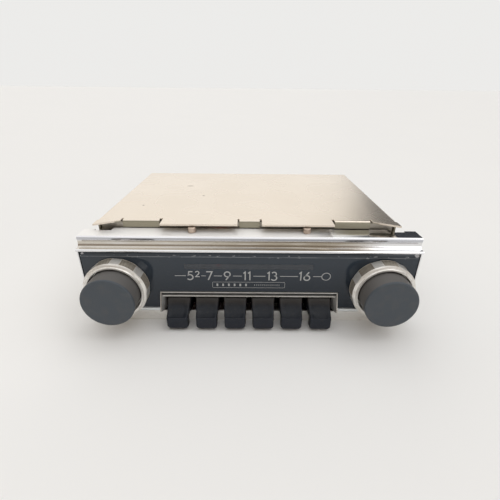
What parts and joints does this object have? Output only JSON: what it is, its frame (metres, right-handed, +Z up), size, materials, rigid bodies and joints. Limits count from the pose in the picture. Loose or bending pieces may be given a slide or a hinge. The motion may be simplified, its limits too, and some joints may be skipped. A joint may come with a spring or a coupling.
{
  "type": "car radio",
  "caption": "Dashboard car radio: chrome trim, smoked dial, rotary knobs at both ends, piano-style push keys and a plated sheet-steel case.",
  "frame": {"origin": "centre of the underside of the bounding box, on the surface the radio stands on", "axes": "+X to the right seen from the front, +Y from the front panel to the back, +Z up"},
  "size_m": [0.178, 0.156, 0.0552],
  "materials": {
    "case_plating": "satin plated sheet, warm grey-beige, light stains and scratches",
    "chrome_trim": "polished chrome plate, fine pitting and wear",
    "smoked_dial": "smoked acrylic, gloss, with a printed light grey scale",
    "knob_rubber": "matte moulded, faint dust",
    "key_plastic": "moulded, semi-gloss with rubbed edges",
    "bright_steel": "machined or pressed steel, satin",
    "screw_brass": "turned, dull",
    "black_plastic": "moulded",
    "pointer_red": "moulded red",
    "dial_white": "matt white paint",
    "lamp_glass": "clear bulb",
    "cord_fibre": "braided dial cord",
    "board_laminate": "paper laminate",
    "aluminium": "plain, satin",
    "copper_winding": "enamelled copper winding",
    "ferrite": "pressed ferrite cores on a dark moulded plate"
  },
  "bodies": {
    "case": {"chassis_frame": "case_plating", "top_cover": "case_plating", "bottom_cover": "case_plating", "trim_frame": "chrome_trim", "trim_screw_left": "screw_brass", "trim_screw_right": "screw_brass", "dial_glass": "smoked_dial", "key_bezel": "chrome_trim", "key_frame": "bright_steel", "return_spring": "bright_steel", "left_nut": "chrome_trim", "right_nut": "chrome_trim", "left_bushing": "screw_brass", "right_bushing": "screw_brass", "volume_control": "black_plastic", "spindle_bracket": "bright_steel", "pointer_rail": "bright_steel", "dial_cord": "cord_fibre", "dial_backplate": "dial_white", "dial_lamp": "lamp_glass", "tuner_frame": "bright_steel", "tuning_coil_1": "copper_winding", "tuning_coil_2": "copper_winding", "tuning_coil_3": "copper_winding", "circuit_board": "board_laminate", "if_can_1": "aluminium", "if_can_2": "aluminium", "filter_capacitor": "aluminium", "output_transformer": "bright_steel", "heat_sink": "aluminium", "antenna_socket": "bright_steel", "power_socket": "black_plastic", "rear_stud": "bright_steel", "stud_nut": "bright_steel", "cover_screw_1": "bright_steel", "cover_screw_2": "bright_steel", "cover_screw_3": "bright_steel", "cover_screw_4": "bright_steel"},
    "volume_knob": {"left_knob": "knob_rubber", "left_shaft": "bright_steel"},
    "tuning_knob": {"right_knob": "knob_rubber", "right_shaft": "bright_steel", "lead_screw": "screw_brass"},
    "pointer": {"dial_pointer": "pointer_red", "pointer_carriage": "black_plastic"},
    "cores": {"core_carriage": "ferrite"},
    "left_pulley": {"pulley_left": "screw_brass"},
    "right_pulley": {"pulley_right": "screw_brass"},
    "key_button_1": {"key_1": "key_plastic", "key_slide_1": "bright_steel"},
    "key_button_2": {"key_2": "key_plastic", "key_slide_2": "bright_steel"},
    "key_button_3": {"key_3": "key_plastic", "key_slide_3": "bright_steel"},
    "key_button_4": {"key_4": "key_plastic", "key_slide_4": "bright_steel"},
    "key_button_5": {"key_5": "key_plastic", "key_slide_5": "bright_steel"},
    "key_button_6": {"key_6": "key_plastic", "key_slide_6": "bright_steel"}
  },
  "joints": [
    {"name": "volume_turn", "type": "hinge", "parent": "case", "child": "volume_knob", "pos_m": [-0.0704, -0.06, 0.0233], "axis": [0, 1, 0], "range_deg": [0, 290]},
    {"name": "tuning_turn", "type": "hinge", "parent": "case", "child": "tuning_knob", "pos_m": [0.0704, -0.06, 0.0233], "axis": [0, 1, 0], "range_deg": [-238, 842]},
    {"name": "pointer_slide", "type": "slide", "parent": "case", "child": "pointer", "axis": [1, 0, 0], "range_m": [-0.0138, 0.0486]},
    {"name": "core_slide", "type": "slide", "parent": "case", "child": "cores", "axis": [0, 1, 0], "range_m": [-0.0192, 0.0055]},
    {"name": "left_pulley_turn", "type": "hinge", "parent": "case", "child": "left_pulley", "pos_m": [-0.046, -0.038, 0.0396], "axis": [0, 1, 0], "range_deg": [-240, 845]},
    {"name": "right_pulley_turn", "type": "hinge", "parent": "case", "child": "right_pulley", "pos_m": [0.058, -0.038, 0.0396], "axis": [0, 1, 0], "range_deg": [-240, 845]},
    {"name": "key_1_press", "type": "slide", "parent": "case", "child": "key_button_1", "axis": [0, 1, 0], "range_m": [0, 0.004], "stiffness_N_per_m": 800, "springref_m": -0.005, "deforming": ["return_spring"]},
    {"name": "key_2_press", "type": "slide", "parent": "case", "child": "key_button_2", "axis": [0, 1, 0], "range_m": [0, 0.004], "stiffness_N_per_m": 800, "springref_m": -0.005},
    {"name": "key_3_press", "type": "slide", "parent": "case", "child": "key_button_3", "axis": [0, 1, 0], "range_m": [0, 0.004], "stiffness_N_per_m": 800, "springref_m": -0.005},
    {"name": "key_4_press", "type": "slide", "parent": "case", "child": "key_button_4", "axis": [0, 1, 0], "range_m": [0, 0.004], "stiffness_N_per_m": 800, "springref_m": -0.005},
    {"name": "key_5_press", "type": "slide", "parent": "case", "child": "key_button_5", "axis": [0, 1, 0], "range_m": [0, 0.004], "stiffness_N_per_m": 800, "springref_m": -0.005},
    {"name": "key_6_press", "type": "slide", "parent": "case", "child": "key_button_6", "axis": [0, 1, 0], "range_m": [0, 0.004], "stiffness_N_per_m": 800, "springref_m": -0.005}
  ],
  "couplings": [
    {"joint": "pointer_slide", "follows": "tuning_turn", "m_per_rad": 0.0033},
    {"joint": "core_slide", "follows": "tuning_turn", "m_per_rad": -0.0013},
    {"joint": "left_pulley_turn", "follows": "tuning_turn", "ratio": 1},
    {"joint": "right_pulley_turn", "follows": "tuning_turn", "ratio": 1}
  ]
}
